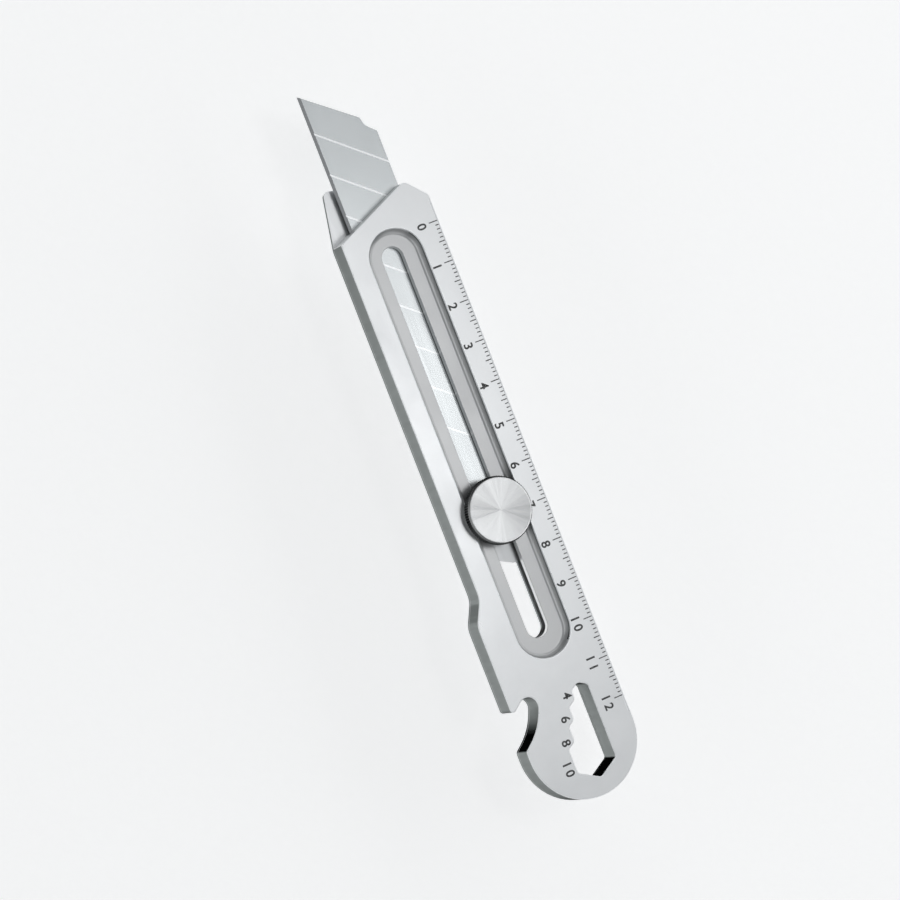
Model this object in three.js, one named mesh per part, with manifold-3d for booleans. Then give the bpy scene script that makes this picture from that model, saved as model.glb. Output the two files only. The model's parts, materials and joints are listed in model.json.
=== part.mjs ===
// Snap-off knife with a metal body, a ruler edge, a stepped hex wrench and a bottle opener.
// Millimetres. The knife lies on its back: +Z out of the front face, +Y towards the blade's tip,
// +X towards the ruler edge. The origin is under the middle of the whole object's box.
import * as THREE from 'three';
import { mergeVertices } from 'three/addons/utils/BufferGeometryUtils.js';
import Module from 'manifold-3d';

const wasm = await Module();
wasm.setup();

// ---- Driving dimensions -------------------------------------------------------------------
// Places on the plan are a pair: the inset from the ruler edge, and the station, which is the
// distance from the ruler's zero line towards the tail.
const LOWER_WIDTH = 28.1;
const UPPER_WIDTH = 25.1;
const TAIL_STATION = 139.95;
const TIP_STATION = -38.6;
const TAIL_RADIUS = LOWER_WIDTH / 2;
const RULER_EDGE_X = LOWER_WIDTH / 2;
const RULER_ZERO_Y = (TAIL_STATION + TIP_STATION) / 2;

// Heights above the back face.
const THICKNESS = 7.2;
const REAR_PLATE_TOP = 1.1;
const SEAM = 0.1;
const CHANNEL_ROOF = 3.3;
const RECESS_FLOOR = 4.9;
const BLADE_BOTTOM = 2.5;
const BLADE_THICKNESS = 0.5;
const CARRIER_BOTTOM = 1.4;
const CARRIER_TOP = 2.2;
const KNOB_BOTTOM = 7.5;
const KNOB_TOP = 10.7;
const HUB_BOTTOM = 6.6;

// The slot that the clamp slides in, and the recess around it.
const SLOT_INSET = 13.4;
const SLOT_WIDTH = 5.5;
const SLOT_ENDS = [1.85, 100.1];
const RECESS_INSET = 13.15;
const RECESS_WIDTH = 13.8;
const RECESS_ENDS = [-2.0, 105.2];
const RECESS_FILLET = 1.3;

// The blade.
const BLADE_INSETS = [4.7, 20.4];
const BLADE_TAIL_STATION = 65.1;
const BLADE_EDGE_BEVEL = 0.7;
const BLADE_EDGE_LAND = 0.06;
const SCORE_COUNT = 8;
const SCORE_FIRST_STATION = -29.6;
const SCORE_PITCH = 10.26;
const SCORE_SLOPE = 0.8;
const SCORE_DEPTH = 0.1;
const SCORE_WIDTH = 0.3;

// The clamp and the carriage.
const CLAMP_STATION = 68.55;
const CARRIER_INSETS = [5.85, 19.25];
const CARRIER_STATIONS = [55, 77];
const TONGUE_END_STATIONS = [82.4, 79.4];
const TONGUE_WIDTH = 5.8;
const PIN_STATION = 63.3;
const RIVET_STATION = 72.3;
const RIVET_INSETS = [SLOT_INSET - 2.6, SLOT_INSET + 2.6];
const NUT_STATIONS = [65.4, 74.2];
const NUT_WIDTH = 8.6;
const NUT_BOSS_RADIUS = 2.5;
const KNOB_RADIUS = 8.1;
const KNURL_TEETH = 64;
const KNURL_DEPTH = 0.25;
const HUB_RADIUS = 4.8;
const SCREW_RADIUS = 1.5;
const TRAVEL_BACK = 28.9;

// The wrench: across-flats sizes with clearance, each hexagon resting on one common wall.
const WRENCH_WALL_INSET = 7.7;
const WRENCH_HEXAGONS = [
  { flats: 4.3, station: 115.6 },
  { flats: 6.4, station: 119.6 },
  { flats: 8.2, station: 124.3 },
  { flats: 10.3, station: 129.8 },
];

// Countersunk screws that hold the rear plate, on the two rails and the tail.
const REAR_SCREW_PLACES = [
  [2.1, 8], [2.1, 50], [2.1, 92], [3.9, 121],
  [23.0, 8], [23.0, 50], [24.4, 94], [22.9, 129.5],
];
const REAR_SCREW_HEAD_RADIUS = 1.75;
const REAR_SCREW_RADIUS = 1;
const REAR_SCREW_TOP = 5.4;

const ARC_STEP = Math.PI / 15;
const ROUND = 20;
const FAR = 40;

// ---- Plan helpers -------------------------------------------------------------------------
const place = (inset, station) => new THREE.Vector2(RULER_EDGE_X - inset, RULER_ZERO_Y - station);

// A closed outline through corners [inset, station, radius], each rounded by a true arc.
function roundedOutline(corners) {
  const points = [];
  corners.forEach(([inset, station, radius], i) => {
    const corner = place(inset, station);
    if (!radius) {
      points.push(corner);
      return;
    }
    const [beforeInset, beforeStation] = corners[(i + corners.length - 1) % corners.length];
    const [afterInset, afterStation] = corners[(i + 1) % corners.length];
    const toBefore = place(beforeInset, beforeStation).sub(corner).normalize();
    const toAfter = place(afterInset, afterStation).sub(corner).normalize();
    const half = Math.acos(toBefore.dot(toAfter)) / 2;
    const middle = toBefore.clone().add(toAfter).normalize();
    const centre = corner.clone().addScaledVector(middle, radius / Math.sin(half));
    const first = corner.clone().addScaledVector(toBefore, radius / Math.tan(half)).sub(centre);
    const last = corner.clone().addScaledVector(toAfter, radius / Math.tan(half)).sub(centre);
    const turn = Math.atan2(first.cross(last), first.dot(last));
    const steps = Math.max(1, Math.ceil(Math.abs(turn) / ARC_STEP));
    for (let k = 0; k <= steps; k += 1) {
      points.push(first.clone().rotateAround(new THREE.Vector2(), (turn * k) / steps).add(centre));
    }
  });
  return points;
}

function obround(inset, [startStation, endStation], width) {
  const half = width / 2;
  return roundedOutline([
    [inset - half, startStation, half * 0.9999],
    [inset + half, startStation, half * 0.9999],
    [inset + half, endStation, half * 0.9999],
    [inset - half, endStation, half * 0.9999],
  ]);
}

function hexagon(inset, station, flats) {
  const centre = place(inset, station);
  const corner = new THREE.Vector2(0, flats / Math.sqrt(3));
  return Array.from({ length: 6 }, (_, k) =>
    corner.clone().rotateAround(new THREE.Vector2(), (k * Math.PI) / 3).add(centre));
}

// ---- Solid helpers ------------------------------------------------------------------------
function solidOf(geometry) {
  geometry.deleteAttribute('uv');
  geometry.deleteAttribute('normal');
  const merged = mergeVertices(geometry, 1e-4);
  return new wasm.Manifold(new wasm.Mesh({
    numProp: 3,
    vertProperties: merged.attributes.position.array,
    triVerts: new Uint32Array(merged.index.array),
  }));
}

function slab(outline, bottom, top) {
  const geometry = new THREE.ExtrudeGeometry(new THREE.Shape(outline), {
    depth: top - bottom,
    bevelEnabled: false,
  });
  return solidOf(geometry.translate(0, 0, bottom));
}

// A turned solid about a vertical axis, from a closed profile of [radius, height] points.
function turned(profile, inset, station, segments = ROUND) {
  const points = profile.map(([radius, height]) => new THREE.Vector2(radius, height));
  const geometry = new THREE.LatheGeometry(points, segments);
  const centre = place(inset, station);
  return solidOf(geometry.rotateX(Math.PI / 2).translate(centre.x, centre.y, 0));
}

function disc(inset, station, radius, bottom, top) {
  return turned([[0, bottom], [radius, bottom], [radius, top], [0, top]], inset, station);
}

function ring(inset, station, inner, outer, bottom, top) {
  const profile = [[inner, bottom], [outer, bottom], [outer, top], [inner, top], [inner, bottom]];
  return turned(profile, inset, station);
}

const subtractAll = (solid, cutters) => cutters.reduce((left, cutter) => left.subtract(cutter), solid);

// ---- Body ---------------------------------------------------------------------------------
const OPENER_AND_TAIL = [
  [0, TAIL_STATION, TAIL_RADIUS],
  [LOWER_WIDTH, TAIL_STATION, TAIL_RADIUS],
  [LOWER_WIDTH, 123.4, 1.1],
  [23.1, 119.5, 15],
  [18.2, 107.0, 2.4],
  [LOWER_WIDTH, 114.5, 0.8],
  [LOWER_WIDTH, 92, 6],
  [UPPER_WIDTH, 86.2, 6],
];
const FRONT_NOSE = [[UPPER_WIDTH, -2.3, 0.4], [4.75, -11.4, 1.8], [0, -6.4, 1.2]];
const REAR_NOSE = [[UPPER_WIDTH, -1.8, 6], [22.4, -15.7, 1.4], [6.2, -13.2, 2], [0, -6.4, 1.2]];

// Four hexagons in a row, with the common wall kept straight between them.
function wrenchCutters(bottom, top) {
  const first = WRENCH_HEXAGONS[0];
  const last = WRENCH_HEXAGONS[WRENCH_HEXAGONS.length - 1];
  const wallStart = first.station - first.flats / Math.sqrt(12);
  const wallEnd = last.station + last.flats / Math.sqrt(12);
  const alongWall = slab([
    place(WRENCH_WALL_INSET, wallStart),
    place(WRENCH_WALL_INSET + first.flats / 2, wallStart),
    place(WRENCH_WALL_INSET + first.flats / 2, wallEnd),
    place(WRENCH_WALL_INSET, wallEnd),
  ], bottom, top);
  const hexagons = WRENCH_HEXAGONS.map(({ flats, station }) =>
    slab(hexagon(WRENCH_WALL_INSET + flats / 2, station, flats), bottom, top));
  return [alongWall, ...hexagons];
}

// The recess's wall sweeps down to its floor in a quarter-round.
function recessCutter() {
  const floorWidth = RECESS_WIDTH - 2 * RECESS_FILLET;
  const floorEnds = [RECESS_ENDS[0] + RECESS_FILLET, RECESS_ENDS[1] - RECESS_FILLET];
  const geometry = new THREE.ExtrudeGeometry(
    new THREE.Shape(obround(RECESS_INSET, floorEnds, floorWidth)),
    {
      depth: 2,
      bevelThickness: THICKNESS - RECESS_FLOOR,
      bevelSize: RECESS_FILLET,
      bevelSegments: 5,
    },
  );
  return solidOf(geometry.translate(0, 0, THICKNESS));
}

// The blade's channel, stepped down to the carrier and then to the carrier's tongue.
function channelCutter() {
  const bottom = REAR_PLATE_TOP - 1;
  const carrierEnd = CARRIER_STATIONS[1] + TRAVEL_BACK + 0.4;
  const bladeEnd = BLADE_TAIL_STATION + TRAVEL_BACK + 0.5;
  const tongueEnd = TONGUE_END_STATIONS[0] + TRAVEL_BACK + 0.4;
  const strip = (inset, width, end, radius) => slab(roundedOutline([
    [inset - width / 2, -FAR, 0],
    [inset - width / 2, end, radius],
    [inset + width / 2, end, radius],
    [inset + width / 2, -FAR, 0],
  ]), bottom, CHANNEL_ROOF);
  const bladeWidth = BLADE_INSETS[1] - BLADE_INSETS[0] + 0.8;
  const carrierWidth = CARRIER_INSETS[1] - CARRIER_INSETS[0] + 0.8;
  return strip(UPPER_WIDTH / 2, bladeWidth, bladeEnd, 1)
    .add(strip(UPPER_WIDTH / 2, carrierWidth, carrierEnd, 1.5))
    .add(strip(SLOT_INSET, TONGUE_WIDTH + 0.8, tongueEnd, 1.5));
}

function makeFrontShell() {
  const outline = roundedOutline([...FRONT_NOSE, ...OPENER_AND_TAIL]);
  const screwHoles = REAR_SCREW_PLACES.map(([inset, station]) =>
    disc(inset, station, REAR_SCREW_RADIUS + 0.15, 0, REAR_SCREW_TOP + 0.3));
  return subtractAll(slab(outline, REAR_PLATE_TOP + SEAM, THICKNESS), [
    channelCutter(),
    recessCutter(),
    slab(obround(SLOT_INSET, SLOT_ENDS, SLOT_WIDTH), 0, THICKNESS),
    ...wrenchCutters(0, THICKNESS + 1),
    ...screwHoles,
  ]);
}

function makeRearPlate() {
  const outline = roundedOutline([...REAR_NOSE, ...OPENER_AND_TAIL]);
  const clearance = REAR_SCREW_RADIUS + 0.15;
  const screwHoles = REAR_SCREW_PLACES.map(([inset, station]) => turned([
    [0, -0.2],
    [REAR_SCREW_HEAD_RADIUS + 0.3, -0.2],
    [REAR_SCREW_HEAD_RADIUS + 0.3, 0.15],
    [clearance, 0.15 + REAR_SCREW_HEAD_RADIUS + 0.3 - clearance],
    [clearance, REAR_PLATE_TOP + 1],
    [0, REAR_PLATE_TOP + 1],
  ], inset, station));
  return subtractAll(slab(outline, 0, REAR_PLATE_TOP), [
    slab(obround(SLOT_INSET, SLOT_ENDS, SLOT_WIDTH), -1, THICKNESS),
    ...wrenchCutters(-1, THICKNESS),
    ...screwHoles,
  ]);
}

// A countersunk screw with a hexagonal socket in its head, seated just below the back face.
function makeRearScrew([inset, station]) {
  const seat = 0.1;
  const screw = turned([
    [0, seat],
    [REAR_SCREW_HEAD_RADIUS, seat],
    [REAR_SCREW_HEAD_RADIUS, seat + 0.1],
    [REAR_SCREW_RADIUS, seat + 0.1 + REAR_SCREW_HEAD_RADIUS - REAR_SCREW_RADIUS],
    [REAR_SCREW_RADIUS, REAR_SCREW_TOP - 0.3],
    [REAR_SCREW_RADIUS - 0.3, REAR_SCREW_TOP],
    [0, REAR_SCREW_TOP],
  ], inset, station);
  return screw.subtract(slab(hexagon(inset, station, 1.3), -1, seat + 0.6));
}

// ---- Blade --------------------------------------------------------------------------------
function makeBlade() {
  const [spine, edge] = BLADE_INSETS;
  const top = BLADE_BOTTOM + BLADE_THICKNESS;
  const middle = BLADE_BOTTOM + BLADE_THICKNESS / 2;
  const outline = [
    place(edge, TIP_STATION),
    place(7.66, -29.2),
    place(6.9, -26.9),
    place(spine, -24.9),
    place(spine, BLADE_TAIL_STATION),
    place(edge, BLADE_TAIL_STATION),
  ];
  // The two ground faces meet at the cutting edge: each is a wedge laid along it.
  const grind = (faceHeight, edgeHeight) => {
    const out = edge + 1;
    const outHeight = edgeHeight + (edgeHeight - faceHeight) / BLADE_EDGE_BEVEL;
    const profile = new THREE.Shape([
      new THREE.Vector2(RULER_EDGE_X - edge + BLADE_EDGE_BEVEL, faceHeight),
      new THREE.Vector2(RULER_EDGE_X - out, outHeight),
      new THREE.Vector2(RULER_EDGE_X - out, faceHeight + Math.sign(faceHeight - middle)),
      new THREE.Vector2(RULER_EDGE_X - edge + BLADE_EDGE_BEVEL, faceHeight + Math.sign(faceHeight - middle)),
    ]);
    const length = 2 * TAIL_STATION;
    const geometry = new THREE.ExtrudeGeometry(profile, { depth: length, bevelEnabled: false });
    return solidOf(geometry.rotateX(Math.PI / 2).translate(0, length / 2, 0));
  };
  const scores = Array.from({ length: SCORE_COUNT }, (_, k) => {
    const station = SCORE_FIRST_STATION + k * SCORE_PITCH;
    const along = SCORE_WIDTH / 2 / Math.sin(Math.atan2(1, SCORE_SLOPE));
    const rise = (edge - spine) * SCORE_SLOPE;
    return slab([
      place(edge + 1, station - SCORE_SLOPE - along),
      place(spine - 1, station + rise + SCORE_SLOPE - along),
      place(spine - 1, station + rise + SCORE_SLOPE + along),
      place(edge + 1, station - SCORE_SLOPE + along),
    ], top - SCORE_DEPTH, top + 1);
  });
  return subtractAll(slab(outline, BLADE_BOTTOM, top), [
    grind(top, middle + BLADE_EDGE_LAND / 2),
    grind(BLADE_BOTTOM, middle - BLADE_EDGE_LAND / 2),
    disc(SLOT_INSET, PIN_STATION, 1.25, 0, THICKNESS),
    ...scores,
  ]);
}

// ---- Carriage -----------------------------------------------------------------------------
function makeCarrier() {
  const [right, left] = CARRIER_INSETS;
  const [front, back] = CARRIER_STATIONS;
  const half = TONGUE_WIDTH / 2;
  const outline = roundedOutline([
    [right, front, 1.5],
    [right, back, 1.5],
    [SLOT_INSET - half, back, 1],
    [SLOT_INSET - half, TONGUE_END_STATIONS[0], 1],
    [SLOT_INSET + half, TONGUE_END_STATIONS[1], 1],
    [SLOT_INSET + half, back, 1],
    [left, back, 1.5],
    [left, front, 1.5],
  ]);
  return subtractAll(slab(outline, CARRIER_BOTTOM, CARRIER_TOP), [
    disc(SLOT_INSET, CLAMP_STATION, SCREW_RADIUS + 0.2, 0, THICKNESS),
    disc(SLOT_INSET, PIN_STATION, 1.1, 0, THICKNESS),
    ...RIVET_INSETS.map((inset) => disc(inset, RIVET_STATION, 0.65, 0, THICKNESS)),
  ]);
}

function makeBladePin() {
  return disc(SLOT_INSET, PIN_STATION, 1, CARRIER_BOTTOM + 0.05, BLADE_BOTTOM + BLADE_THICKNESS - 0.1);
}

// A flanged nut: its boss stands in the slot and guides the carriage.
function makeClampNut() {
  const half = NUT_WIDTH / 2;
  const [front, back] = NUT_STATIONS;
  const flange = slab(roundedOutline([
    [SLOT_INSET - half, front, 1],
    [SLOT_INSET + half, front, 1],
    [SLOT_INSET + half, back, 1],
    [SLOT_INSET - half, back, 1],
  ]), CARRIER_TOP + 0.1, CHANNEL_ROOF - 0.2);
  const boss = disc(SLOT_INSET, CLAMP_STATION, NUT_BOSS_RADIUS, CARRIER_TOP + 0.3, RECESS_FLOOR - 0.2);
  return subtractAll(flange.add(boss), [
    disc(SLOT_INSET, CLAMP_STATION, SCREW_RADIUS + 0.15, 0, THICKNESS),
    ...RIVET_INSETS.map((inset) => disc(inset, RIVET_STATION, 0.65, 0, THICKNESS)),
  ]);
}

function makeNutRivet(inset) {
  return disc(inset, RIVET_STATION, 0.5, CARRIER_BOTTOM + 0.05, CHANNEL_ROOF - 0.25);
}

function makeFlatWasher() {
  return ring(SLOT_INSET, CLAMP_STATION, SCREW_RADIUS + 0.2, 5, RECESS_FLOOR + 0.2, RECESS_FLOOR + 0.7);
}

// A ring bent into three waves, so that it springs between the washer and the knob's hub.
function makeWaveWasher() {
  const bottom = RECESS_FLOOR + 1.0;
  const profile = [
    [SCREW_RADIUS + 0.3, bottom],
    [4.4, bottom],
    [4.4, bottom + 0.3],
    [SCREW_RADIUS + 0.3, bottom + 0.3],
    [SCREW_RADIUS + 0.3, bottom],
  ];
  const points = profile.map(([radius, height]) => new THREE.Vector2(radius, height));
  const geometry = new THREE.LatheGeometry(points, 48).rotateX(Math.PI / 2);
  const position = geometry.attributes.position;
  for (let i = 0; i < position.count; i += 1) {
    const turn = Math.atan2(position.getY(i), position.getX(i));
    position.setZ(i, position.getZ(i) + 0.1 * Math.sin(3 * turn));
  }
  const centre = place(SLOT_INSET, CLAMP_STATION);
  return solidOf(geometry.translate(centre.x, centre.y, 0));
}

function makeClampScrew() {
  return turned([
    [0, CARRIER_BOTTOM - 0.1],
    [SCREW_RADIUS - 0.3, CARRIER_BOTTOM - 0.1],
    [SCREW_RADIUS, CARRIER_BOTTOM + 0.2],
    [SCREW_RADIUS, KNOB_TOP - 1.3],
    [0, KNOB_TOP - 1.3],
  ], SLOT_INSET, CLAMP_STATION);
}

// The knob: a knurled disc with chamfered rims and a hub that bears on the washers.
function makeKnob() {
  const centre = place(SLOT_INSET, CLAMP_STATION);
  const knurl = Array.from({ length: 2 * KNURL_TEETH }, (_, k) => {
    const radius = KNOB_RADIUS - (k % 2) * KNURL_DEPTH;
    const turn = (Math.PI * k) / KNURL_TEETH;
    return new THREE.Vector2(Math.cos(turn), Math.sin(turn)).multiplyScalar(radius).add(centre);
  });
  const rim = turned([
    [0, KNOB_BOTTOM],
    [KNOB_RADIUS - 0.3, KNOB_BOTTOM],
    [KNOB_RADIUS + 0.05, KNOB_BOTTOM + 0.35],
    [KNOB_RADIUS + 0.05, KNOB_TOP - 0.35],
    [KNOB_RADIUS - 0.3, KNOB_TOP],
    [0, KNOB_TOP],
  ], SLOT_INSET, CLAMP_STATION, 64);
  return slab(knurl, KNOB_BOTTOM, KNOB_TOP)
    .intersect(rim)
    .add(disc(SLOT_INSET, CLAMP_STATION, HUB_RADIUS, HUB_BOTTOM, KNOB_BOTTOM + 0.5))
    .subtract(disc(SLOT_INSET, CLAMP_STATION, SCREW_RADIUS + 0.15, 0, KNOB_TOP - 1.15));
}

// ---- Materials and scene ------------------------------------------------------------------
const STEEL = { color: 0xc4c7c9, metalness: 1, roughness: 0.35 };
const BLADE_STEEL = { color: 0xb9bfc2, metalness: 1, roughness: 0.28 };
const KNOB_STEEL = { color: 0xd5d7d8, metalness: 1, roughness: 0.22 };
const DARK_STEEL = { color: 0x6a6d70, metalness: 1, roughness: 0.4 };
const BRASS = { color: 0xb9a06a, metalness: 1, roughness: 0.35 };

function mesh(name, solid, look) {
  const { vertProperties, triVerts } = solid.getMesh();
  const geometry = new THREE.BufferGeometry();
  geometry.setAttribute('position', new THREE.BufferAttribute(vertProperties, 3));
  geometry.setIndex(new THREE.BufferAttribute(triVerts, 1));
  geometry.computeVertexNormals();
  const made = new THREE.Mesh(geometry, new THREE.MeshStandardMaterial(look));
  made.name = name;
  return made;
}

const body = new THREE.Group();
body.add(mesh('front_shell', makeFrontShell(), STEEL));
body.add(mesh('rear_plate', makeRearPlate(), STEEL));
REAR_SCREW_PLACES.forEach((screwPlace, i) => {
  body.add(mesh(`rear_screw_${i + 1}`, makeRearScrew(screwPlace), DARK_STEEL));
});

const carriage = new THREE.Group();
carriage.add(mesh('blade', makeBlade(), BLADE_STEEL));
carriage.add(mesh('blade_carrier', makeCarrier(), STEEL));
carriage.add(mesh('blade_pin', makeBladePin(), DARK_STEEL));
carriage.add(mesh('clamp_nut', makeClampNut(), BRASS));
RIVET_INSETS.forEach((inset, i) => {
  carriage.add(mesh(`nut_rivet_${i + 1}`, makeNutRivet(inset), DARK_STEEL));
});
carriage.add(mesh('flat_washer', makeFlatWasher(), STEEL));

const knob = new THREE.Group();
knob.add(mesh('wave_washer', makeWaveWasher(), DARK_STEEL));
knob.add(mesh('clamp_screw', makeClampScrew(), DARK_STEEL));
knob.add(mesh('lock_knob', makeKnob(), KNOB_STEEL));

const knife = new THREE.Group();
knife.add(body, carriage, knob);

export default knife;
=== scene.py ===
"""Looks of the snap-off knife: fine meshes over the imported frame, metal materials, studio and camera."""
import json
import math

import bmesh
import bpy
from mathutils import Matrix, Vector


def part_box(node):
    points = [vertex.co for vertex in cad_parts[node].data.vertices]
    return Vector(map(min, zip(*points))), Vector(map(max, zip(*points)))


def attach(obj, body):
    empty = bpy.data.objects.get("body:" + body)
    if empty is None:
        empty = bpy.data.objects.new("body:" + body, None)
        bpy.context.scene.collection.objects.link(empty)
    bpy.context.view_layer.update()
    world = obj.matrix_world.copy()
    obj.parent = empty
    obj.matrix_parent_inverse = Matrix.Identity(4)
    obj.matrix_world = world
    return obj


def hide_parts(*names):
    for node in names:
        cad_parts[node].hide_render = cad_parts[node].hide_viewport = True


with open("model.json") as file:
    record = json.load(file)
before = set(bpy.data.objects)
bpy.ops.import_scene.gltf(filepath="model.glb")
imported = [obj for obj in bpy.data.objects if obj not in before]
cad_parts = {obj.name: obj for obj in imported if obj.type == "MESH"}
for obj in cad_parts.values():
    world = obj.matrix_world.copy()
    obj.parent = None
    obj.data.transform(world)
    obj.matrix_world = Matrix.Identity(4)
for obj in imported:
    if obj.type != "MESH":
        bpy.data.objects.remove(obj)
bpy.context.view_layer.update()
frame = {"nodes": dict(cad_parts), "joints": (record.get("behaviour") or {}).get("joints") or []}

# ---- Sizes, in millimetres ---------------------------------------------------------------
# Places on the plan are a pair: the inset from the ruler edge, and the station, which is the
# distance from the ruler's zero line towards the tail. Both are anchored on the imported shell.
MM = 0.001
SHELL_LOW, SHELL_HIGH = (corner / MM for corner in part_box("front_shell"))
PLATE_LOW, PLATE_HIGH = (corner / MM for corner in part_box("rear_plate"))
BLADE_LOW, BLADE_HIGH = (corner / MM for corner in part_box("blade"))
KNOB_LOW, KNOB_HIGH = (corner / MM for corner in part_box("lock_knob"))
SCREW_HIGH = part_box("clamp_screw")[1] / MM

LOWER_WIDTH = SHELL_HIGH.x - SHELL_LOW.x
UPPER_WIDTH = LOWER_WIDTH - 3.0
TAIL_STATION = 139.95
TAIL_RADIUS = LOWER_WIDTH / 2
FRONT_FACE = SHELL_HIGH.z
SHELL_BOTTOM = SHELL_LOW.z
PLATE_TOP = PLATE_HIGH.z
CHANNEL_ROOF = 3.3
RECESS_FLOOR = 4.9
SLOT_INSET = SHELL_HIGH.x - (KNOB_LOW.x + KNOB_HIGH.x) / 2
RECESS_INSET = SLOT_INSET - 0.25
RECESS_FILLET = 1.3
RECESS_WIDTH = 13.8
RECESS_ENDS = (-2.0, 105.2)
SLOT_WIDTH = 5.5
SLOT_ENDS = (1.85, 100.1)
WRENCH_WALL = 7.7
WRENCH_HEXAGONS = ((4.3, 115.6), (6.4, 119.6), (8.2, 124.3), (10.3, 129.8))
REAR_SCREW_COUNT = 8

ARC_STEP = math.radians(6)
EDGE_ROUND = 0.2
INNER_EDGE_ROUND = 0.06
RIM_ROUND = 0.3
SLOT_ROUND = 0.12
RULER_SLOPE = (0.7, 0.25)


# ---- Plan helpers ------------------------------------------------------------------------
def place(inset, station):
    """A plan point in millimetres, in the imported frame."""
    return Vector((SHELL_HIGH.x - inset, SHELL_LOW.y + TAIL_STATION - station))


def rounded_outline(corners, step=ARC_STEP):
    """A closed outline through corners (inset, station, radius), each rounded by a true arc."""
    points = []
    for i, (inset, station, radius) in enumerate(corners):
        corner = place(inset, station)
        if not radius:
            points.append(corner)
            continue
        before = corners[i - 1]
        after = corners[(i + 1) % len(corners)]
        to_before = (place(*before[:2]) - corner).normalized()
        to_after = (place(*after[:2]) - corner).normalized()
        half = to_before.angle(to_after) / 2
        centre = corner + (to_before + to_after).normalized() * radius / math.sin(half)
        first = corner + to_before * radius / math.tan(half) - centre
        last = corner + to_after * radius / math.tan(half) - centre
        turn = math.atan2(first.cross(last), first.dot(last))
        steps = max(1, math.ceil(abs(turn) / step - 0.001))
        for k in range(steps + 1):
            points.append(centre + Matrix.Rotation(turn * k / steps, 2) @ first)
    return [p for p, before in zip(points, points[-1:] + points) if (p - before).length > 0.001]


def obround(inset, ends, width):
    """A slot outline with half-round ends."""
    half = width / 2
    return rounded_outline([
        (inset - half, ends[0], half),
        (inset + half, ends[0], half),
        (inset + half, ends[1], half),
        (inset - half, ends[1], half),
    ])


def grown(outline, distance):
    """An outline moved outwards by a distance, or inwards where the distance is negative."""
    following = outline[1:] + outline[:1]
    side = math.copysign(1, sum(here.cross(after) for here, after in zip(outline, following)))
    moved = []
    for before, here, after in zip(outline[-1:] + outline[:-1], outline, following):
        arrive = (here - before).normalized()
        leave = (after - here).normalized()
        out = Vector((arrive.y, -arrive.x)) * side
        middle = (out + Vector((leave.y, -leave.x)) * side).normalized()
        moved.append(here + middle * distance / middle.dot(out))
    return moved


def rim_profile(radius, steps=3):
    """A quarter-round edge, as pairs of (distance in from the wall, drop below the face)."""
    turns = [math.pi / 2 * k / steps for k in range(steps + 1)]
    return [(radius * (1 - math.cos(turn)), radius * (1 - math.sin(turn))) for turn in turns]


def wrench_outline(round_off=1.0):
    """Four hexagons in a row on one straight wall, as one outline."""
    first_flats, first_station = WRENCH_HEXAGONS[0]
    last_flats, last_station = WRENCH_HEXAGONS[-1]
    corners = [
        (WRENCH_WALL, first_station - first_flats / math.sqrt(12), 1.2),
        (WRENCH_WALL + first_flats / 2, first_station - first_flats / math.sqrt(3), 1.4),
    ]
    for (flats, station), following in zip(WRENCH_HEXAGONS, WRENCH_HEXAGONS[1:] + (None,)):
        left = WRENCH_WALL + flats
        corners.append((left, station - flats / math.sqrt(12), round_off))
        if following is None:
            corners.append((left, station + flats / math.sqrt(12), round_off))
            continue
        wide, centre = following
        cusp = centre - wide / math.sqrt(12) - (wide - flats) / math.sqrt(3)
        corners.append((left, cusp, round_off))
    corners.append((WRENCH_WALL + last_flats / 2, last_station + last_flats / math.sqrt(3), round_off))
    corners.append((WRENCH_WALL, last_station + last_flats / math.sqrt(12), round_off))
    return rounded_outline(corners)


OPENER_AND_TAIL = [
    (0, TAIL_STATION, TAIL_RADIUS),
    (LOWER_WIDTH, TAIL_STATION, TAIL_RADIUS),
    (LOWER_WIDTH, 123.4, 1.1),
    (23.1, 119.5, 15),
    (18.2, 107.0, 2.4),
    (LOWER_WIDTH, 114.5, 0.8),
    (LOWER_WIDTH, 92, 6),
    (UPPER_WIDTH, 86.2, 6),
]
FRONT_NOSE = [(UPPER_WIDTH, -2.3, 0.4), (4.75, -11.4, 1.8), (0, -6.4, 1.2)]
REAR_NOSE = [(UPPER_WIDTH, -1.8, 6), (22.4, -15.7, 1.4), (6.2, -13.2, 2), (0, -6.4, 1.2)]


# ---- Mesh helpers ------------------------------------------------------------------------
def make_object(name, bm):
    """A new object from a bmesh. It stays in millimetres until to_metres()."""
    bmesh.ops.recalc_face_normals(bm, faces=bm.faces)
    mesh = bpy.data.meshes.new(name)
    bm.to_mesh(mesh)
    bm.free()
    made = bpy.data.objects.new(name, mesh)
    bpy.context.scene.collection.objects.link(made)
    return made


def to_metres(target):
    target.data.transform(Matrix.Scale(MM, 4))
    return target


def loft(name, rings, close=False):
    """A solid through rings of 3-D points. Without close, the first and last ring are capped."""
    bm = bmesh.new()
    made = [[bm.verts.new(point) for point in ring] for ring in rings]
    pairs = list(zip(made, made[1:] + made[:1])) if close else list(zip(made, made[1:]))
    for lower, upper in pairs:
        for i, vert in enumerate(lower):
            j = (i + 1) % len(lower)
            bm.faces.new((vert, lower[j], upper[j], upper[i]))
    if not close:
        bm.faces.new(list(reversed(made[0])))
        bm.faces.new(made[-1])
    return make_object(name, bm)


def level(outline, height):
    """A plan outline as a ring of 3-D points at one height."""
    return [(p.x, p.y, height) for p in outline]


def prism(name, outline, bottom, top):
    """A straight slab over a plan outline."""
    return loft(name, [level(outline, bottom), level(outline, top)])


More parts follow.
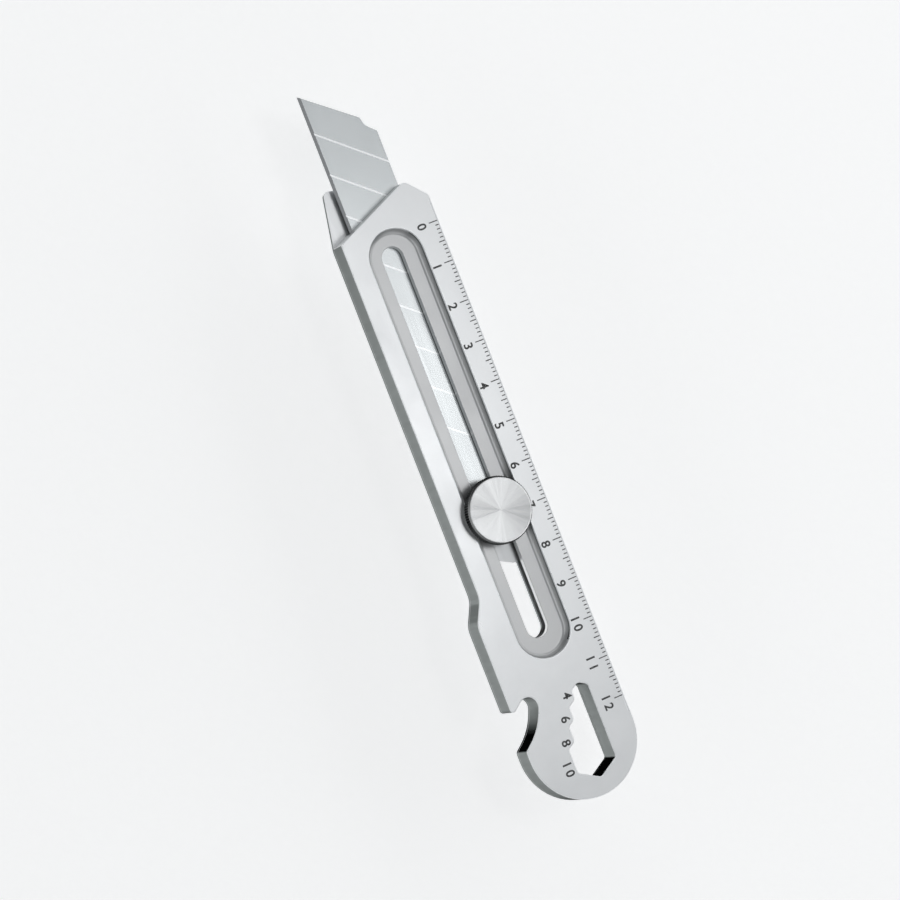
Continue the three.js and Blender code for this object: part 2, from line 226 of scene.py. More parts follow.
def plate(name, outline, bottom, top, low_round=0.0, high_round=0.0):
    """A slab over a plan outline, with rounded edges round either face."""
    rings = []
    if low_round:
        rings += [level(grown(outline, -inward), bottom + drop)
                  for inward, drop in reversed(rim_profile(low_round))]
    else:
        rings.append(level(outline, bottom))
    if high_round:
        rings += [level(grown(outline, -inward), top - drop) for inward, drop in rim_profile(high_round)]
    else:
        rings.append(level(outline, top))
    return loft(name, rings)


def through_cutter(name, outline, bottom, face, face_round, upwards=True):
    """A cutter right through a plate, flared where it meets one face so that the rim is rounded."""
    way = 1 if upwards else -1
    rings = [level(outline, bottom)]
    rings += [level(grown(outline, inward), face - way * drop) for inward, drop in rim_profile(face_round)]
    rings.append(level(grown(outline, face_round), face + way * 2))
    return loft(name, rings)


def turned(name, centre, profile, segments=72, close=False, radius_at=None):
    """A turned solid about a vertical axis from a profile of (radius, height)."""
    rings = []
    for radius, height in profile:
        ring = []
        for k in range(segments):
            turn = 2 * math.pi * k / segments
            reach = radius_at(radius, k) if radius_at else radius
            ring.append((centre.x + reach * math.cos(turn), centre.y + reach * math.sin(turn), height))
        rings.append(ring)
    return loft(name, rings, close)


def evaluated_mesh(target):
    """Applies every modifier on an object."""
    bpy.context.view_layer.update()
    graph = bpy.context.evaluated_depsgraph_get()
    mesh = bpy.data.meshes.new_from_object(target.evaluated_get(graph), depsgraph=graph)
    target.modifiers.clear()
    old = target.data
    target.data = mesh
    bpy.data.meshes.remove(old)
    return target


def cut(target, *cutters):
    """Subtracts each cutter from the target and removes the cutters."""
    for cutter in cutters:
        modifier = target.modifiers.new("cut", "BOOLEAN")
        modifier.operation = "DIFFERENCE"
        modifier.solver = "EXACT"
        modifier.object = cutter
    evaluated_mesh(target)
    for cutter in cutters:
        bpy.data.objects.remove(cutter)
    return target


def tidy(target):
    """Joins loose double points left by a cut."""
    bm = bmesh.new()
    bm.from_mesh(target.data)
    bmesh.ops.remove_doubles(bm, verts=bm.verts, dist=0.002)
    bmesh.ops.dissolve_degenerate(bm, edges=bm.edges, dist=0.002)
    bm.to_mesh(target.data)
    bm.free()
    return target


def smooth(target, angle=32):
    """Smooth shading with crisp edges, weighted so that flat faces stay flat."""
    mesh = target.data
    mesh.polygons.foreach_set("use_smooth", [True] * len(mesh.polygons))
    mesh.set_sharp_from_angle(angle=math.radians(angle))
    modifier = target.modifiers.new("normals", "WEIGHTED_NORMAL")
    modifier.keep_sharp = True
    modifier.weight = 90
    return to_metres(evaluated_mesh(target))


# ---- Body --------------------------------------------------------------------------------
def recess_cutter():
    """The recess: a rounded rim, then a wall that sweeps down to the floor in a quarter-round."""
    steps = 10
    rings = []
    for k in range(steps + 1):
        turn = math.pi / 2 * k / steps
        spread = RECESS_FILLET * (1 - math.sin(turn))
        height = RECESS_FLOOR + (FRONT_FACE - RIM_ROUND - RECESS_FLOOR) * (1 - math.cos(turn))
        ends = (RECESS_ENDS[0] + spread, RECESS_ENDS[1] - spread)
        rings.append(level(obround(RECESS_INSET, ends, RECESS_WIDTH - 2 * spread), height))
    rim = obround(RECESS_INSET, RECESS_ENDS, RECESS_WIDTH)
    rings += [level(grown(rim, inward), FRONT_FACE - drop) for inward, drop in rim_profile(RIM_ROUND)[1:]]
    rings.append(level(grown(rim, RIM_ROUND), FRONT_FACE + 2))
    return loft("recess_cutter", rings)


def channel_cutters():
    """The blade's channel, stepped down to the carrier and then to its tongue."""
    carrier_low, carrier_high = (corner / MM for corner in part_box("blade_carrier"))
    slide = next(joint for joint in frame["joints"] if joint["name"] == "carriage_slide")
    back = -slide["range_m"][0] / MM
    middle = UPPER_WIDTH / 2
    blade_end = TAIL_STATION + SHELL_LOW.y - BLADE_LOW.y + back + 0.5
    carrier_end = blade_end + 11.8
    tongue_end = TAIL_STATION + SHELL_LOW.y - carrier_low.y + back + 0.4
    strips = (
        (middle, BLADE_HIGH.x - BLADE_LOW.x + 0.8, blade_end, 1.0),
        (middle, carrier_high.x - carrier_low.x + 0.8, carrier_end, 1.5),
        (SLOT_INSET, 6.6, tongue_end, 1.5),
    )
    cutters = []
    for k, (inset, width, end, radius) in enumerate(strips):
        outline = rounded_outline([
            (inset - width / 2, -30 - k, 0),
            (inset - width / 2, end, radius),
            (inset + width / 2, end, radius),
            (inset + width / 2, -30 - k, 0),
        ])
        roof = CHANNEL_ROOF - 0.003 * k
        cutters.append(prism("channel_cutter", outline, -1 - k, roof))
    return cutters


def ruler_chamfer():
    """The thin slope that brings the ruler's marks down towards the edge."""
    rings = []
    for station in (-5.2, 124):
        edge = place(0, station)
        rings.append([
            (edge.x - RULER_SLOPE[0], edge.y, FRONT_FACE + 0.0001),
            (edge.x + 1, edge.y, FRONT_FACE - RULER_SLOPE[1] * (1 + 1 / RULER_SLOPE[0])),
            (edge.x + 1, edge.y, FRONT_FACE + 1),
            (edge.x - RULER_SLOPE[0], edge.y, FRONT_FACE + 1),
        ])
    return loft("ruler_chamfer", rings)


def make_front_shell():
    outline = rounded_outline(FRONT_NOSE + OPENER_AND_TAIL)
    slot = obround(SLOT_INSET, SLOT_ENDS, SLOT_WIDTH)
    shell = plate("front_casing", outline, SHELL_BOTTOM, FRONT_FACE, high_round=EDGE_ROUND)
    cut(shell, recess_cutter(), *channel_cutters())
    cut(
        shell,
        through_cutter("slot_cutter", slot, -3, RECESS_FLOOR, SLOT_ROUND),
        through_cutter("wrench_cutter", wrench_outline(), -3, FRONT_FACE, EDGE_ROUND),
        ruler_chamfer(),
    )
    return smooth(tidy(shell))


def make_rear_plate():
    outline = rounded_outline(REAR_NOSE + OPENER_AND_TAIL)
    slot = obround(SLOT_INSET, SLOT_ENDS, SLOT_WIDTH)
    back = plate("back_plate", outline, PLATE_LOW.z, PLATE_TOP, EDGE_ROUND, INNER_EDGE_ROUND)
    start = PLATE_TOP + 3
    cut(
        back,
        through_cutter("slot_cutter", slot, start, PLATE_LOW.z, EDGE_ROUND, upwards=False),
        through_cutter("wrench_cutter", wrench_outline(), start, PLATE_LOW.z, EDGE_ROUND, upwards=False),
    )
    cut(back, *(screw_seat(k) for k in range(REAR_SCREW_COUNT)))
    return smooth(tidy(back))


def screw_centre(k):
    low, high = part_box(f"rear_screw_{k + 1}")
    return (low + high) / 2 / MM


SEAT_RADIUS = 2.05
SEAT_BORE_RADIUS = 1.15
SEAT_SINK = 0.15
SHANK_RADIUS = 1.0
SOCKET_RADIUS = 0.75
SOCKET_DEPTH = 0.6


def screw_seat(k):
    """The countersunk hole for one rear screw."""
    return turned("seat", screw_centre(k), [
        (SEAT_RADIUS, -0.5),
        (SEAT_RADIUS, SEAT_SINK),
        (SEAT_BORE_RADIUS, SEAT_SINK + SEAT_RADIUS - SEAT_BORE_RADIUS),
        (SEAT_BORE_RADIUS, PLATE_TOP + 1),
    ], segments=40)


def make_rear_screw(k):
    """A countersunk screw with a hexagonal socket."""
    low, high = (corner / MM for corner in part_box(f"rear_screw_{k + 1}"))
    head = (high.x - low.x) / 2
    shank = SHANK_RADIUS
    centre = screw_centre(k)
    screw = turned(f"back_screw_{k + 1}", centre, [
        (head - 0.12, low.z),
        (head, low.z + 0.1),
        (shank, low.z + 0.1 + head - shank),
        (shank, high.z - 0.3),
        (shank - 0.3, high.z),
    ], segments=48)
    socket = turned(
        "socket", centre, [(SOCKET_RADIUS, -1), (SOCKET_RADIUS, low.z + SOCKET_DEPTH)], segments=6)
    cut(screw, socket)
    return smooth(screw)


# ---- Blade -------------------------------------------------------------------------------
EDGE_GRIND = 0.75
EDGE_LAND = 0.03
TAIL_HOLE_RADIUS = 1.25
# Where the segment before this one broke away: its end point, then the step down to the spine.
BROKEN_END = (7.66, -29.2)
BROKEN_STEP = ((7.2, -27.4), (6.6, -26.6))
SPINE_CORNER_STATION = -24.9
SCORE_COUNT = 8
SCORE_FIRST_STATION = -29.6
SCORE_PITCH = 10.26
SCORE_SLOPE = 0.8
SCORE_WIDTH = 0.42
SCORE_DEPTH = 0.03


def score_cutter(k):
    """A shallow groove right across the blade's front face."""
    spine = SHELL_HIGH.x - BLADE_HIGH.x - 1
    edge = SHELL_HIGH.x - BLADE_LOW.x - EDGE_GRIND * 0.6
    station = SCORE_FIRST_STATION + k * SCORE_PITCH
    width = BLADE_HIGH.x - BLADE_LOW.x
    near = place(edge, station + EDGE_GRIND * 0.6 * SCORE_SLOPE)
    far = place(spine, station + (width + 1) * SCORE_SLOPE)
    side = (far - near).orthogonal().normalized() * SCORE_WIDTH / 2
    top = BLADE_HIGH.z
    rings = []
    for end in (near, far):
        left = end - side
        right = end + side
        rings.append([
            (left.x, left.y, top + 1),
            (left.x, left.y, top - SCORE_DEPTH),
            (right.x, right.y, top - SCORE_DEPTH),
            (right.x, right.y, top + 1),
        ])
    return loft("score", rings)


def make_blade():
    """The blade: a flat strip with a ground cutting edge and pressed score lines."""
    spine = SHELL_HIGH.x - BLADE_HIGH.x
    edge = SHELL_HIGH.x - BLADE_LOW.x
    tip_station = TAIL_STATION + SHELL_LOW.y - BLADE_HIGH.y
    tail_station = TAIL_STATION + SHELL_LOW.y - BLADE_LOW.y
    middle = (BLADE_LOW.z + BLADE_HIGH.z) / 2
    tip_slope = (tip_station - BROKEN_END[1]) / (edge - BROKEN_END[0])
    inner_tip = tip_station - EDGE_GRIND * tip_slope
    broken = [BROKEN_END, *BROKEN_STEP, (spine, SPINE_CORNER_STATION)]

    def ring(edge_inset, tip, height):
        plan = [(edge_inset, tip)] + broken + [(spine, tail_station), (edge_inset, tail_station)]
        return [(*place(inset, station), height) for inset, station in plan]

    blade = loft("snap_blade", [
        ring(edge - EDGE_GRIND, inner_tip, BLADE_LOW.z),
        ring(edge, tip_station, middle - EDGE_LAND),
        ring(edge, tip_station, middle + EDGE_LAND),
        ring(edge - EDGE_GRIND, inner_tip, BLADE_HIGH.z),
    ])
    pin_low, pin_high = (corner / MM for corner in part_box("blade_pin"))
    hole = turned(
        "hole",
        (pin_low + pin_high) / 2,
        [(TAIL_HOLE_RADIUS, -1), (TAIL_HOLE_RADIUS, FRONT_FACE)],
        segments=32,
    )
    cut(blade, hole, *(score_cutter(k) for k in range(SCORE_COUNT)))
    return smooth(blade, angle=10)


# ---- Knob --------------------------------------------------------------------------------
KNURL_TEETH = 84
KNURL_DEPTH = 0.22
HUB_RADIUS = 4.8
BORE_RADIUS = 1.65


def make_knob():
    """A turned knob: chamfered rims, straight knurl, and a hub below."""
    radius = (KNOB_HIGH.x - KNOB_LOW.x) / 2
    centre = (KNOB_LOW + KNOB_HIGH) / 2
    underside = KNOB_LOW.z + 0.9
    top = KNOB_HIGH.z
    rim = 0.42
    hub = HUB_RADIUS

    def knurled(reach, k):
        if reach < radius - 0.01:
            return reach
        return reach - KNURL_DEPTH * (k % 2)

    profile = [
        (0.02, KNOB_LOW.z),
        (hub - 0.2, KNOB_LOW.z),
        (hub, KNOB_LOW.z + 0.2),
        (hub, underside),
        (radius - rim, underside),
        (radius - 0.24, underside + 0.25),
        (radius, underside + 0.4),
        (radius, top - 0.5),
        (radius - 0.22, top - 0.34),
        (radius - 0.3, top - 0.12),
        (radius - 0.42, top),
        (radius - 0.6, top - 0.02),
        (0.3, top - 0.03),
        (0.02, top - 0.06),
    ]
    knob = turned("clamp_knob", centre, profile, segments=2 * KNURL_TEETH, radius_at=knurled)
    cut(knob, turned("bore", centre, [(BORE_RADIUS, -1), (BORE_RADIUS, SCREW_HIGH.z + 0.15)], segments=32))
    return smooth(knob, angle=24)


# ---- Ruler marks and numerals ------------------------------------------------------------
MARK_HEIGHT = 0.012
RULER_LENGTH = 12
NUMERAL_HEIGHT = 2.3
NUMERAL_WEIGHT = 0.07
NUMERAL_INSET = 4.8
TICK_OUTER = 0.5
TICK_LENGTHS = {0: 2.2, 5: 1.5}
TICK_SHORT = 0.85
TICK_WIDTH = 0.24
WRENCH_LABELS = (("4", 13.7, 115.0), ("6", 16.2, 120.0), ("8", 18.2, 125.2), ("10", 20.0, 131.0))


def text_faces(bm, text, inset, station, height):
    """Adds one numeral, read from the head to the tail, to a bmesh."""
    curve = bpy.data.curves.new("numeral", "FONT")
    curve.body = text
    curve.size = height / 0.73
    curve.space_character = 1.4
    curve.offset = NUMERAL_WEIGHT
    curve.align_x = "CENTER"
    curve.align_y = "CENTER"
    curve.resolution_u = 6
    source = bpy.data.objects.new("numeral", curve)
    bpy.context.scene.collection.objects.link(source)
    bpy.context.view_layer.update()
    graph = bpy.context.evaluated_depsgraph_get()
    mesh = bpy.data.meshes.new_from_object(source.evaluated_get(graph), depsgraph=graph)
    spot = place(inset, station)
    turn = Matrix.Translation((spot.x, spot.y, FRONT_FACE + MARK_HEIGHT))
    turn = turn @ Matrix.Rotation(-math.pi / 2, 4, "Z")
    mesh.transform(turn)
    bm.from_mesh(mesh)
    bpy.data.objects.remove(source)
    bpy.data.curves.remove(curve)
    bpy.data.meshes.remove(mesh)


def tick_face(bm, station, length):
    """Adds one ruler mark to a bmesh."""
    half = TICK_WIDTH / 2
    corners = (
        (TICK_OUTER, station - half),
        (TICK_OUTER + length, station - half),
        (TICK_OUTER + length, station + half),
        (TICK_OUTER, station + half),
    )
    height = FRONT_FACE + MARK_HEIGHT
    bm.faces.new([bm.verts.new((*place(inset, s), height)) for inset, s in corners])


def make_marks():
    """All the marks and numerals, as one thin inlay."""
    bm = bmesh.new()
    for millimetre in range(10 * RULER_LENGTH + 1):
        tick_face(bm, millimetre, TICK_LENGTHS.get(millimetre % 10, TICK_SHORT))
    for number in range(RULER_LENGTH + 1):
        text_faces(bm, str(number), NUMERAL_INSET, 10 * number + 0.25, NUMERAL_HEIGHT)
    for text, inset, station in WRENCH_LABELS:
        text_faces(bm, text, inset, station, NUMERAL_HEIGHT)
    marks = to_metres(make_object("ruler_marks", bm))
    for polygon in marks.data.polygons:
        if polygon.normal.z < 0:
            polygon.flip()
    return marks


# ---- Materials ---------------------------------------------------------------------------
class Nodes:
    """A short way to write a node material."""

    def __init__(self, name, roughness, metallic=1.0):
        self.material = bpy.data.materials.new(name)
        self.material.use_nodes = True
        self.tree = self.material.node_tree
        self.shader = self.tree.nodes["Principled BSDF"]
        self.shader.inputs["Metallic"].default_value = metallic
        self.shader.inputs["Roughness"].default_value = roughness

    def node(self, kind, **inputs):
        made = self.tree.nodes.new(kind)
        for key, value in inputs.items():
            made.inputs[key.replace("_", " ")].default_value = value
        return made

    def link(self, source, target):
        self.tree.links.new(source, target)

    def position(self, scale=(1, 1, 1)):
        """Place on the object, stretched per axis."""
        where = self.node("ShaderNodeTexCoord")
        stretch = self.node("ShaderNodeMapping")
        stretch.inputs["Scale"].default_value = scale
        self.link(where.outputs["Object"], stretch.inputs["Vector"])
        return stretch.outputs["Vector"]

    def noise(self, scale, detail=3.0, stretch=(1, 1, 1)):
        made = self.node("ShaderNodeTexNoise", Scale=scale, Detail=detail)
        self.link(self.position(stretch), made.inputs["Vector"])
        return made.outputs["Fac"]

    def ramp(self, source, low, high, dark, light):
        """Maps low..high of a source to two colours or greys."""
        made = self.node("ShaderNodeValToRGB")
        made.color_ramp.elements[0].position = low
        made.color_ramp.elements[1].position = high
        made.color_ramp.elements[0].color = as_colour(dark)
        made.color_ramp.elements[1].color = as_colour(light)
        self.link(source, made.inputs["Fac"])
        return made.outputs["Color"]

    def blend(self, factor, first, second):
        made = self.node("ShaderNodeMix")
        made.data_type = "RGBA"
        self.link(factor, made.inputs["Factor"])
        for socket, value in ((made.inputs[6], first), (made.inputs[7], second)):
            if isinstance(value, tuple):
                socket.default_value = as_colour(value)
            else:
                self.link(value, socket)
        return made.outputs[2]

    def bump(self, source, strength, distance, normal=None):
        made = self.node("ShaderNodeBump", Strength=strength, Distance=distance)
        self.link(source, made.inputs["Height"])
        if normal is not None:
            self.link(normal, made.inputs["Normal"])
        return made.outputs["Normal"]

    def set(self, socket, source):
        self.link(source, self.shader.inputs[socket])


def as_colour(value):
    if isinstance(value, (int, float)):
        return (value, value, value, 1)
    return (*value, 1)


def satin_steel(name, light, dark, rough_low, rough_high, blast=0.10, scratches=1.0):
    """Fine bead-blasted steel: a soft mottle, tiny pits and a few hairline scratches."""
    made = Nodes(name, rough_high)
    mottle = made.noise(90, 4)
    cloud = made.noise(24, 2)
    colour = made.ramp(mottle, 0.3, 0.7, dark, light)
    colour = made.blend(made.ramp(cloud, 0.35, 0.7, 0.0, 0.35), colour, light)
    scratch = made.noise(260, 1, (1.0, 0.02, 1.0))
    lines = made.ramp(scratch, 0.68, 0.74, 0.0, scratches)
    made.set("Base Color", colour)
    rough = made.ramp(mottle, 0.25, 0.75, rough_low, rough_high)
    made.set("Roughness", made.blend(lines, rough, (rough_low * 0.8,) * 3))
    grain = made.noise(5200, 2)
    normal = made.bump(grain, blast, 0.00002)
    made.set("Normal", made.bump(lines, 0.06, 0.00001, normal))
    return made.material


def cut_steel(name, colour, roughness, ends=1.0):
    """Side walls as cut: fine streaks across the thickness. With ends below 1, walls facing the head or
    the tail are darkened as a painted dark reflection, and walls get painted shade towards the head.
    """
    made = Nodes(name, roughness)
    streak = made.noise(2600, 2, (1.0, 1.0, 0.04))
    tone = made.ramp(streak, 0.3, 0.7, tuple(c * 0.9 for c in colour), colour)
    if ends < 1:
        # Painted dark reflection: walls facing the head or the tail are darkened to ends times the colour.
        where = made.node("ShaderNodeTexCoord")
        split = made.node("ShaderNodeSeparateXYZ")
        made.link(where.outputs["Normal"], split.inputs["Vector"])
        head_facing_dark = made.ramp(split.outputs["Y"], 0.36, 0.68, 0.0, 1.0)
        tone = made.blend(head_facing_dark, tone, tuple(c * ends for c in colour))
        turned_round = made.node("ShaderNodeMath")
        turned_round.operation = "MULTIPLY"
        turned_round.inputs[1].default_value = -1.0
        made.link(split.outputs["Y"], turned_round.inputs[0])
        tail_facing_dark = made.ramp(turned_round.outputs["Value"], 0.72, 0.95, 0.0, 1.0)
        tone = made.blend(tail_facing_dark, tone, tuple(c * ends for c in colour))
        # Painted shade: walls are darkened towards the head end.
        spot = made.node("ShaderNodeSeparateXYZ")
        made.link(where.outputs["Object"], spot.inputs["Vector"])
        head_end_shade = made.ramp(spot.outputs["Y"], 0.015, 0.055, 0.0, 0.5)
        tone = made.blend(head_end_shade, tone, tuple(c * 0.55 for c in colour))
        made.shader.inputs["Specular Tint"].default_value = (0.15, 0.15, 0.15, 1)
    made.set("Base Color", tone)
    made.set("Roughness", made.ramp(streak, 0.3, 0.7, roughness * 0.85, roughness * 1.15))
    made.set("Normal", made.bump(streak, 0.12, 0.00002))
    return made.material


def rolled_steel(name, light, dark, roughness, along=(1.0, 0.03, 1.0)):
    """Smooth rolled strip: long faint grain and slight stains."""
    made = Nodes(name, roughness)
    grain = made.noise(1400, 2, along)
    stain = made.noise(60, 3)
    colour = made.blend(made.ramp(stain, 0.35, 0.7, 0.0, 0.6), dark, light)
    made.set("Base Color", made.blend(made.ramp(grain, 0.4, 0.6, 0.0, 0.15), colour, light))
    made.set("Roughness", made.ramp(grain, 0.3, 0.7, roughness * 0.9, roughness * 1.1))
    made.set("Normal", made.bump(grain, 0.02, 0.00001))
    return made.material


def turned_steel(name, light, dark, roughness, centre, anisotropy=0.75):
    """A lathe-turned face: rings about the knob's axis, and spokes of light painted into its colour as a
    painted highlight.
    """
    made = Nodes(name, roughness)
    where = made.node("ShaderNodeTexCoord")
    shift = made.node("ShaderNodeVectorMath")
    shift.operation = "SUBTRACT"
    shift.inputs[1].default_value = (centre.x * MM, centre.y * MM, 0)
    made.link(where.outputs["Object"], shift.inputs[0])
    flat = made.node("ShaderNodeVectorMath")
    flat.operation = "MULTIPLY"
    flat.inputs[1].default_value = (1, 1, 0)
    made.link(shift.outputs["Vector"], flat.inputs[0])
    reach = made.node("ShaderNodeVectorMath")
    reach.operation = "LENGTH"
    made.link(flat.outputs["Vector"], reach.inputs[0])
    rings = made.node("ShaderNodeTexNoise", Scale=5200.0, Detail=2.0)
    rings.noise_dimensions = "1D"
    made.link(reach.outputs["Value"], rings.inputs["W"])
    angle = made.node("ShaderNodeTexGradient")
    angle.gradient_type = "RADIAL"
    made.link(flat.outputs["Vector"], angle.inputs["Vector"])
    spokes = made.node("ShaderNodeTexNoise", Scale=9.0, Detail=6.0, Roughness=0.75)
    spokes.noise_dimensions = "1D"
    made.link(angle.outputs["Fac"], spokes.inputs["W"])
    tone = made.ramp(rings.outputs["Fac"], 0.3, 0.7, dark, light)
    # Painted highlight: brighter radial spokes blended into the base colour.
    shade = made.ramp(spokes.outputs["Fac"], 0.35, 0.65, 0.0, 0.6)
    made.set("Base Color", made.blend(shade, tone, tuple(c * 1.3 for c in light)))
    made.set("Roughness", made.ramp(rings.outputs["Fac"], 0.3, 0.7, roughness * 0.85, roughness * 1.15))
    made.set("Normal", made.bump(rings.outputs["Fac"], 0.08, 0.00001))
    made.shader.inputs["Anisotropic"].default_value = anisotropy
    tangent = made.node("ShaderNodeTangent")
    tangent.direction_type = "RADIAL"
    tangent.axis = "Z"
    made.set("Tangent", tangent.outputs["Tangent"])
    return made.material


def ink(name):
    """Dark fill of the engraved marks, a little uneven."""
    made = Nodes(name, 0.55, metallic=0.2)
    wear = made.noise(1500, 3)
    made.set("Base Color", made.ramp(wear, 0.35, 0.75, 0.035, 0.16))
    made.set("Roughness", made.ramp(wear, 0.3, 0.7, 0.45, 0.7))
    made.set("Normal", made.bump(wear, 0.2, 0.00002))
    return made.material


def machined_brass(name):
    made = Nodes(name, 0.32)
    grain = made.noise(1800, 2, (1.0, 1.0, 0.1))
    made.set("Base Color", made.ramp(grain, 0.3, 0.7, (0.55, 0.42, 0.2), (0.72, 0.58, 0.32)))
    made.set("Roughness", made.ramp(grain, 0.3, 0.7, 0.26, 0.4))
    made.set("Normal", made.bump(grain, 0.1, 0.00002))
    return made.material


def fresh_break(name):
    """Near-white metal, a painted highlight on the score lines and the rounded rims."""
    made = Nodes(name, 0.3)
    grain = made.noise(2400, 2)
    made.set("Base Color", made.ramp(grain, 0.3, 0.7, (0.94, 0.96, 0.97), (0.97, 0.98, 0.99)))
    made.set("Roughness", made.ramp(grain, 0.3, 0.7, 0.27, 0.33))
    made.set("Normal", made.bump(grain, 0.02, 0.00001))
    return made.material


def floor_paper(name):
    """Matt pale paper with a faint tooth."""
    made = Nodes(name, 0.9, metallic=0.0)
    tooth = made.noise(1500, 3)
    made.set("Base Color", made.ramp(tooth, 0.3, 0.7, 0.86, 0.9))
    made.set("Roughness", made.ramp(tooth, 0.3, 0.7, 0.85, 0.95))
    made.set("Normal", made.bump(tooth, 0.1, 0.00005))
    made.shader.inputs["Emission Color"].default_value = (1, 1, 1, 1)
    made.shader.inputs["Emission Strength"].default_value = FLOOR_GLOW
    return made.material


def paint(target, material, *others):
    target.data.materials.clear()
    for each in (material, *others):
        target.data.materials.append(each)


def paint_by(target, choose, *materials):
    """Paints each face with the material whose number choose(centre in mm, normal) gives."""
    paint(target, *materials)
    for polygon in target.data.polygons:
        polygon.material_index = choose(polygon.center / MM, polygon.normal)


# ---- Studio ------------------------------------------------------------------------------
def soft_light(name, spot, size, brightness, aim=(0, 0, 0)):
    """A rectangular soft box of a given surface brightness."""
    light = bpy.data.lights.new(name, "AREA")
    light.shape = "RECTANGLE"
    light.size, light.size_y = size
    light.energy = brightness * math.pi * size[0] * size[1]
    made = bpy.data.objects.new(name, light)
    bpy.context.scene.collection.objects.link(made)
    made.location = spot
    made.rotation_euler = (Vector(aim) - Vector(spot)).to_track_quat("-Z", "Y").to_euler()
    return made


FLOOR_REACH = 1.5
FLOOR_SINK = 0.015
FLOOR_GLOW = 0.42


def make_floor():
    """A square of pale paper, a little below the knife."""
    reach = FLOOR_REACH
    bm = bmesh.new()
    corners = ((-reach, -reach), (reach, -reach), (reach, reach), (-reach, reach))
    bm.faces.new([bm.verts.new((x, y, -FLOOR_SINK)) for x, y in corners])
    mesh = bpy.data.meshes.new("floor")
    bm.to_mesh(mesh)
    bm.free()
    floor = bpy.data.objects.new("floor", mesh)
    bpy.context.scene.collection.objects.link(floor)
    paint(floor, floor_paper("floor_paper"))


def make_studio():
    world = bpy.data.worlds.new("studio")
    bpy.context.scene.world = world
    world.use_nodes = True
    background = world.node_tree.nodes["Background"]
    background.inputs["Color"].default_value = (0.95, 0.98, 1.0, 1)
    background.inputs["Strength"].default_value = 0.35
    soft_light("face_box", (0.19, -0.010, 0.70), (0.17, 0.12), 2.5)
    soft_light("broad_box", (0.25, 0.05, 1.30), (1.3, 1.3), 0.28)
    soft_light("head_card", (0.1, 1.2, 0.4), (0.9, 0.4), 0.9)
    soft_light("ruler_card", (1.2, -0.1, 0.5), (1.5, 0.6), 0.9)
    soft_light("far_card", (0.85, 0.85, 0.4), (0.8, 0.5), 0.9)
    soft_light("near_card", (-1.2, 0.0, 0.4), (1.6, 0.35), 0.8)
    soft_light("tail_card", (0.0, -1.2, 0.4), (1.4, 0.35), 0.8)
    bpy.context.scene.view_settings.view_transform = "Standard"
    make_floor()


CAMERA_AIM = Vector((-4.4, -0.6, FRONT_FACE)) * MM
CAMERA_DISTANCE = 0.8642
CAMERA_ELEVATION = 69.59
CAMERA_AZIMUTH = 175.79
CAMERA_ROLL = -21.37
CAMERA_LENS = 147.9


def make_camera():
    camera = bpy.data.objects.new("camera", bpy.data.cameras.new("camera"))
    bpy.context.scene.collection.objects.link(camera)
    rise = math.radians(CAMERA_ELEVATION)
    round_z = math.radians(CAMERA_AZIMUTH)
    back = Vector((
        math.cos(rise) * math.cos(round_z),
        math.cos(rise) * math.sin(round_z),
        math.sin(rise),
    ))
    up = Vector((0, 1, 0))
    up = (up - up.dot(back) * back).normalized()
    up = Matrix.Rotation(math.radians(CAMERA_ROLL), 3, back) @ up
    right = up.cross(back)
    turn = Matrix((right, up, back)).transposed().to_4x4()
    camera.matrix_world = Matrix.Translation(CAMERA_AIM + back * CAMERA_DISTANCE) @ turn
    camera.data.lens = CAMERA_LENS
    camera.data.sensor_width = 36
    bpy.context.scene.camera = camera


# ---- Build -------------------------------------------------------------------------------
STEEL_FACE = satin_steel("satin_steel", (0.80, 0.81, 0.82), (0.70, 0.71, 0.72), 0.26, 0.36)
# The recess floor and swept wall: a darker copy of the face steel, as painted shade in the recess.
SHADED_RECESS_FACE = satin_steel(
    "recess_steel_shaded", (0.62, 0.625, 0.63), (0.54, 0.545, 0.55), 0.30, 0.40, scratches=0.0)
# Side walls: the dark grey base is a painted dark reflection; ends=0.03 paints walls facing head or tail
# nearly black.
SHADED_WALL = cut_steel("cut_wall_shaded", (0.46, 0.485, 0.478), 0.42, ends=0.03)
# Slot walls and the nose's front walls: a near-white copy of the wall steel, as a painted highlight.
LIT_SLOT_WALL = cut_steel("slot_wall_highlight", (0.90, 0.91, 0.91), 0.35)
# Rounded rims along the front face: near-white, a painted highlight.
RIM_HIGHLIGHT = fresh_break("rim_highlight")
BLADE_FACE = rolled_steel("blade_strip", (0.665, 0.69, 0.70), (0.61, 0.635, 0.645), 0.24)
# The ground edge: a darker copy of the blade steel, as painted shade.
SHADED_BLADE_EDGE = cut_steel("ground_edge_shaded", (0.42, 0.43, 0.44), 0.3)
# The score lines: near-white, a painted highlight.
SCORE_HIGHLIGHT = fresh_break("score_highlight")
PLATE_STEEL = rolled_steel("plate_strip", (0.66, 0.67, 0.68), (0.55, 0.56, 0.57), 0.35)
SCREW_STEEL = cut_steel("screw_steel", (0.42, 0.43, 0.44), 0.35)
BRASS = machined_brass("machined_brass")
INK = ink("mark_fill")


def shell_region(centre, normal):
    """0 outer faces, 1 side walls (painted dark reflection), 2 recess floor and swept wall (painted
    shade), 3 slot and nose walls (painted highlight), 4 rims (painted highlight).
    """
    station = place(0, 0).y - centre.y
    inset = SHELL_HIGH.x - centre.x
    if abs(normal.z) < 0.25:
        near_slot = abs(inset - SLOT_INSET) < SLOT_WIDTH and station < RECESS_ENDS[1]
        on_slot = near_slot and centre.z > CHANNEL_ROOF
        on_nose = station < 0 and normal.y > 0.6
        return 3 if on_slot or on_nose else 1
    if normal.z > 0 and PLATE_TOP + 0.1 < centre.z < FRONT_FACE - RIM_ROUND:
        return 2
    return 4 if 0.25 < normal.z < 0.97 and centre.z > FRONT_FACE - RIM_ROUND else 0


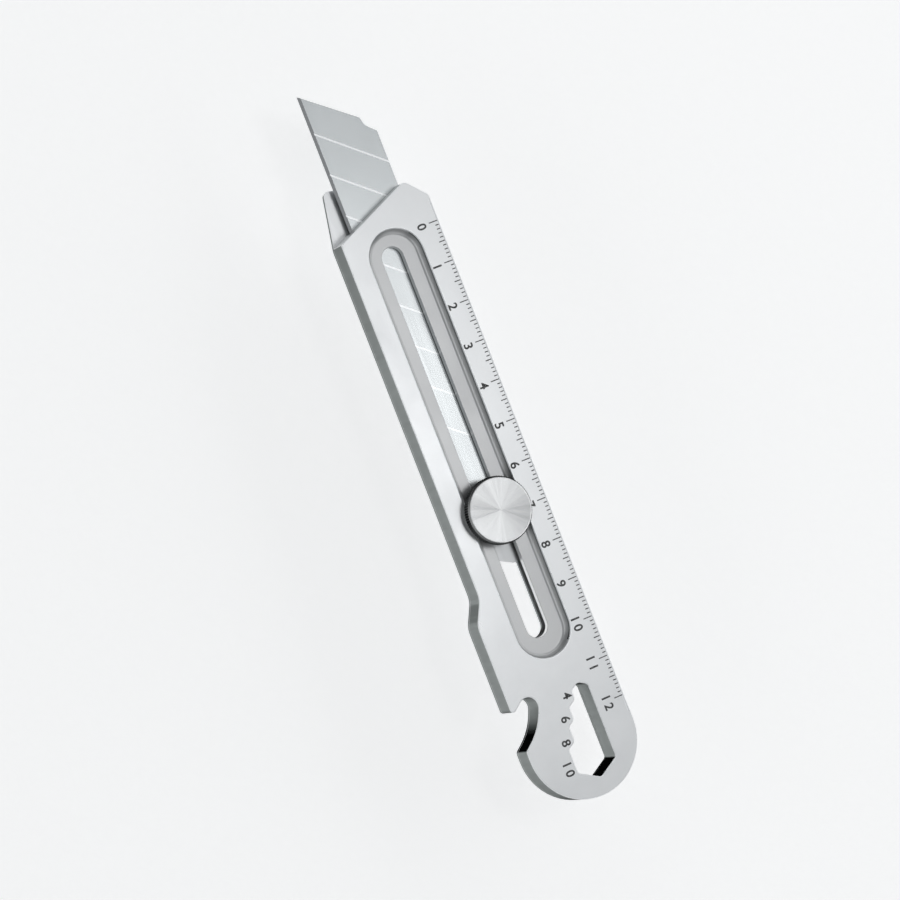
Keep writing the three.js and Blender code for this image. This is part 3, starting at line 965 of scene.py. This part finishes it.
def blade_region(centre, normal):
    """0 for the flats, 1 for the ground cutting edge (painted shade), 2 for the score lines (painted
    highlight).
    """
    if abs(normal.z) < 0.998:
        return 1
    return 2 if BLADE_HIGH.z - 2 * SCORE_DEPTH < centre.z < BLADE_HIGH.z - SCORE_DEPTH / 2 else 0


def add_body():
    shell = make_front_shell()
    paint_by(shell, shell_region, STEEL_FACE, SHADED_WALL, SHADED_RECESS_FACE, LIT_SLOT_WALL, RIM_HIGHLIGHT)
    plate = make_rear_plate()
    paint_by(plate, shell_region, STEEL_FACE, SHADED_WALL, SHADED_RECESS_FACE, LIT_SLOT_WALL, RIM_HIGHLIGHT)
    marks = make_marks()
    paint(marks, INK)
    for piece, node in ((shell, "front_shell"), (plate, "rear_plate")):
        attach(piece, "body")
        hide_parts(node)
    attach(marks, "body")
    for k in range(REAR_SCREW_COUNT):
        screw = make_rear_screw(k)
        paint(screw, SCREW_STEEL)
        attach(screw, "body")
        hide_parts(f"rear_screw_{k + 1}")


def add_carriage():
    blade = make_blade()
    paint_by(blade, blade_region, BLADE_FACE, SHADED_BLADE_EDGE, SCORE_HIGHLIGHT)
    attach(blade, "carriage")
    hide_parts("blade")
    finishes = {
        "blade_carrier": PLATE_STEEL,
        "flat_washer": PLATE_STEEL,
        "wave_washer": PLATE_STEEL,
        "blade_pin": SCREW_STEEL,
        "nut_rivet_1": SCREW_STEEL,
        "nut_rivet_2": SCREW_STEEL,
        "clamp_screw": SCREW_STEEL,
        "clamp_nut": BRASS,
    }
    for node, material in finishes.items():
        paint(frame["nodes"][node], material)


def knob_region(centre, normal):
    """0 for the turned top, 1 for the knurl and the underside, painted dark as painted shade."""
    return 0 if centre.z > KNOB_HIGH.z - 0.05 else 1


def add_knob():
    knob = make_knob()
    centre = (KNOB_LOW + KNOB_HIGH) / 2
    face = turned_steel("knob_face", (0.51, 0.515, 0.52), (0.44, 0.445, 0.45), 0.22, centre)
    # The knurl and the underside: dark steel as painted shade, with the walls' painted dark reflection
    # through ends=0.4.
    paint_by(knob, knob_region, face, cut_steel("knob_knurl_shaded", (0.26, 0.265, 0.265), 0.3, ends=0.4))
    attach(knob, "knob")
    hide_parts("lock_knob")


add_body()
add_carriage()
add_knob()
make_studio()
make_camera()
